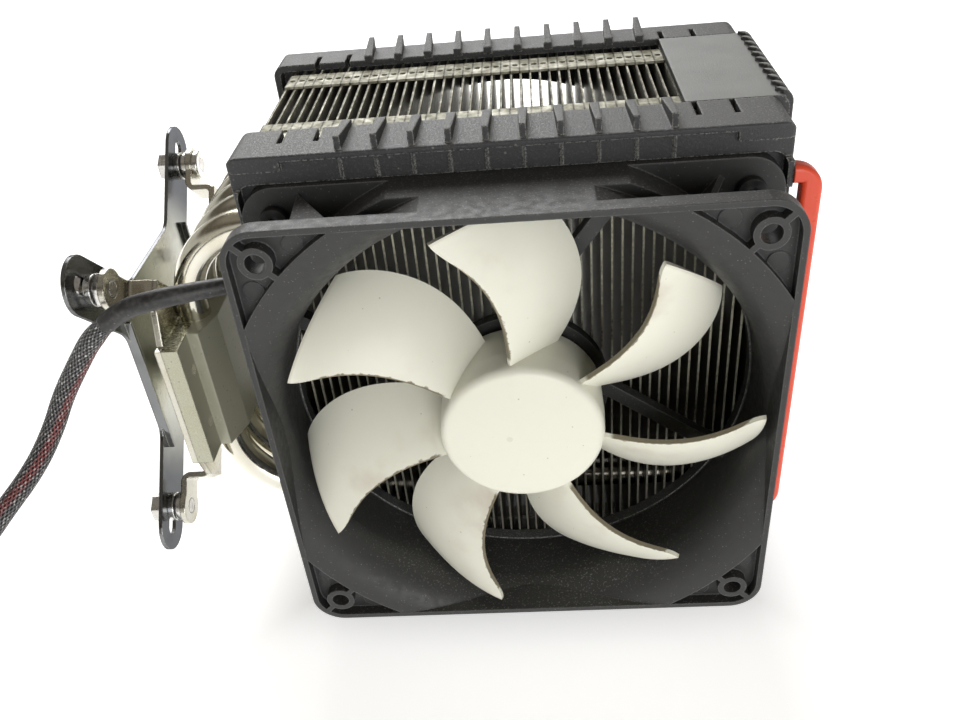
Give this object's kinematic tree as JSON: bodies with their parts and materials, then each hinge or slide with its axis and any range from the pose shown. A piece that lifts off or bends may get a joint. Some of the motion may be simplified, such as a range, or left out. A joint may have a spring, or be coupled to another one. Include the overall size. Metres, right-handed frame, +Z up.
{
  "type": "cpu tower cooler",
  "caption": "Tower heat sink with U-shaped heat pipes, a stack of thin fins, plastic fan brackets, a bladed fan, a ridged end cap and a bolted retention kit.",
  "frame": {"origin": "bottom centre of the bounding box of everything but the fan's lead, on the surface that the bracket ribs rest on", "axes": "+X along the tower from the cold plate to the end cap, +Y along the fan's axis from the fan to the rear bracket, +Z up"},
  "size_m": [0.296, 0.1428, 0.1404],
  "materials": {
    "black_fan_plastic": "satin",
    "white_plastic": "satin",
    "yoke_steel": "zinc plated",
    "magnet": "bonded ferrite",
    "shaft_steel": "ground",
    "clip_plastic": "plain",
    "sleeve_brass": "sintered bronze",
    "core_steel": "laminated",
    "coil_copper": "enamelled copper wire",
    "board": "solder mask",
    "black_screw": "black oxide",
    "bracket_plastic": "fine texture",
    "red_plastic": "gloss",
    "fin_aluminium": "rolled sheet",
    "nickel_base": "nickel plated copper",
    "nickel_pipe": "nickel plated, hollow copper",
    "screw_steel": "zinc plated",
    "retainer_steel": "nickel plated sheet",
    "black_steel": "gloss black",
    "bolt_steel": "zinc plated",
    "nylon": "black nylon",
    "washer_steel": "bright zinc",
    "shrink_sleeve": "heat-shrink tube",
    "braided_lead": "braided sleeve over wires",
    "plug_plastic": "black nylon"
  },
  "bodies": {
    "cooler": {"fan_frame": "black_fan_plastic", "bearing_sleeve": "sleeve_brass", "thrust_pad": "clip_plastic", "stator_core": "core_steel", "stator_coils": "coil_copper", "motor_board": "board", "fan_screws": "black_screw", "front_bracket": "bracket_plastic", "rear_bracket": "bracket_plastic", "handle": "red_plastic", "fin_stack": "fin_aluminium", "end_cap": "bracket_plastic", "base_block": "nickel_base", "cold_plate": "nickel_base", "base_screws": "screw_steel", "front_retainer": "retainer_steel", "rear_retainer": "retainer_steel", "backplate": "black_steel", "mount_bolts": "bolt_steel", "nylon_washers": "nylon", "steel_washers": "washer_steel", "hex_nut": "washer_steel", "thumb_nut": "washer_steel", "heat_shrink": "shrink_sleeve", "fan_cable": "braided_lead", "cable_coil": "braided_lead", "fan_plug": "plug_plastic", "heat_pipe_1": "nickel_pipe", "heat_pipe_2": "nickel_pipe", "heat_pipe_3": "nickel_pipe", "heat_pipe_4": "nickel_pipe", "heat_pipe_5": "nickel_pipe"},
    "fan_wheel": {"fan_rotor": "white_plastic", "rotor_yoke": "yoke_steel", "rotor_magnet": "magnet", "rotor_shaft": "shaft_steel", "shaft_clip": "clip_plastic"}
  },
  "joints": [
    {"name": "fan_spin", "type": "hinge", "parent": "cooler", "child": "fan_wheel", "pos_m": [0.01915, -0.04034, 0.0702], "axis": [0, 1, 0], "continuous": true}
  ]
}
